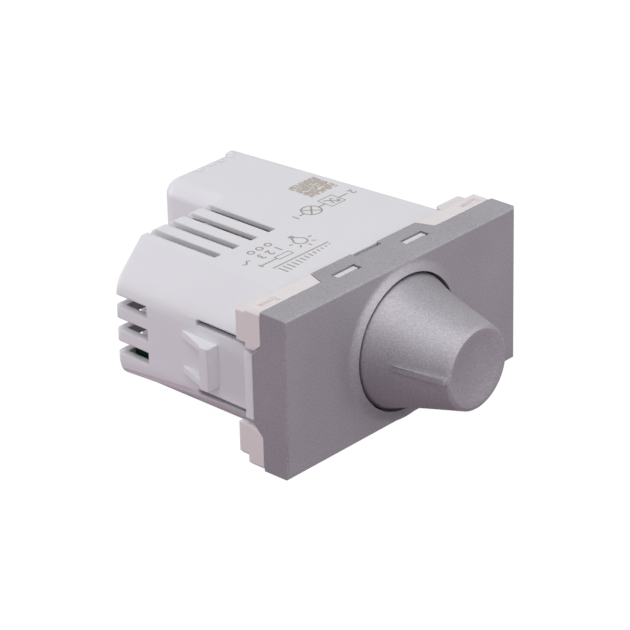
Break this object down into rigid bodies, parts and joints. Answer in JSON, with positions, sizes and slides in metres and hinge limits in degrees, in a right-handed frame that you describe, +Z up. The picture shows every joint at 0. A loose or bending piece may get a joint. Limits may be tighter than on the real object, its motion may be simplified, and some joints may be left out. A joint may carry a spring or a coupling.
{
  "type": "rotary dimmer",
  "caption": "One-module rotary wall dimmer: grey front plate with conical knob, white snap-in frame and vented rear housing with screw terminals.",
  "frame": {"origin": "centre of the front plate's flat face, on the knob's axis", "axes": "+X right seen from the front, +Y to the rear, +Z up"},
  "size_m": [0.0454, 0.0556, 0.0224],
  "materials": {
    "plate_paint": "fine metallic grey lacquer on moulded plastic",
    "frame_plastic": "moulded warm white plastic",
    "housing_plastic": "moulded cool white plastic, fine texture",
    "steel": "zinc plated",
    "brass": "plain",
    "aluminium": "rolled sheet",
    "copper": "enamelled copper wire",
    "iron_powder": "painted iron powder ring",
    "laminate": "solder resist on glass laminate",
    "phenolic": "phenolic paper",
    "carbon": "carbon film",
    "black_plastic": "moulded",
    "epoxy": "moulded epoxy",
    "film_case": "moulded box",
    "blue_case": "dipped",
    "resistor_coat": "lacquered with colour rings",
    "ceramic": "glazed tube",
    "terminal_plastic": "moulded"
  },
  "bodies": {
    "base": {"face_plate": "plate_paint", "mounting_frame": "frame_plastic", "rear_housing": "housing_plastic", "pot_bushing": "brass", "pot_washer": "steel", "pot_nut": "steel", "pot_cover": "steel", "pot_wafer": "phenolic", "resistance_track": "carbon", "circuit_board": "laminate", "choke_core": "iron_powder", "choke_winding": "copper", "film_capacitor": "film_case", "timing_capacitor": "blue_case", "resistors": "resistor_coat", "diac": "blue_case", "fuse_body": "ceramic", "fuse_caps": "steel", "triac": "epoxy", "heat_sink": "aluminium", "triac_screw": "steel", "triac_nut": "steel", "terminal_block": "terminal_plastic", "terminal_contacts": "brass"},
    "control": {"knob": "plate_paint", "pot_shaft": "steel", "pot_rotor": "black_plastic", "wiper_spring": "brass"},
    "left_latch": {"latch_left": "housing_plastic"},
    "right_latch": {"latch_right": "housing_plastic"},
    "screw_1": {"terminal_screw_1": "steel"},
    "screw_2": {"terminal_screw_2": "steel"},
    "screw_3": {"terminal_screw_3": "steel"},
    "cage_1": {"clamp_cage_1": "steel"},
    "cage_2": {"clamp_cage_2": "steel"},
    "cage_3": {"clamp_cage_3": "steel"}
  },
  "joints": [
    {"name": "knob_turn", "type": "hinge", "parent": "base", "child": "control", "pos_m": [0, 0, 0], "axis": [0, 1, 0], "range_deg": [-48, 222]},
    {"name": "latch_left_flex", "type": "hinge", "parent": "base", "child": "left_latch", "pos_m": [-0.01995, 0.0202, 0], "axis": [0, 0, 1], "range_deg": [0, 8], "stiffness_Nm_per_rad": 0.2},
    {"name": "latch_right_flex", "type": "hinge", "parent": "base", "child": "right_latch", "pos_m": [0.01995, 0.0202, 0], "axis": [0, 0, -1], "range_deg": [0, 8], "stiffness_Nm_per_rad": 0.2},
    {"name": "screw_1_turn", "type": "hinge", "parent": "base", "child": "screw_1", "pos_m": [0.0039, 0.0368, 0], "axis": [0, 0, 1], "range_deg": [0, 1080]},
    {"name": "screw_2_turn", "type": "hinge", "parent": "base", "child": "screw_2", "pos_m": [0.0085, 0.0368, 0], "axis": [0, 0, 1], "range_deg": [0, 1080]},
    {"name": "screw_3_turn", "type": "hinge", "parent": "base", "child": "screw_3", "pos_m": [0.0131, 0.0368, 0], "axis": [0, 0, 1], "range_deg": [0, 1080]},
    {"name": "cage_1_slide", "type": "slide", "parent": "base", "child": "cage_1", "axis": [0, 0, -1], "range_m": [0, 0.00135]},
    {"name": "cage_2_slide", "type": "slide", "parent": "base", "child": "cage_2", "axis": [0, 0, -1], "range_m": [0, 0.00135]},
    {"name": "cage_3_slide", "type": "slide", "parent": "base", "child": "cage_3", "axis": [0, 0, -1], "range_m": [0, 0.00135]}
  ],
  "couplings": [
    {"joint": "screw_1_turn", "follows": "cage_1_slide", "rad_per_m": 13962},
    {"joint": "screw_2_turn", "follows": "cage_2_slide", "rad_per_m": 13962},
    {"joint": "screw_3_turn", "follows": "cage_3_slide", "rad_per_m": 13962}
  ]
}
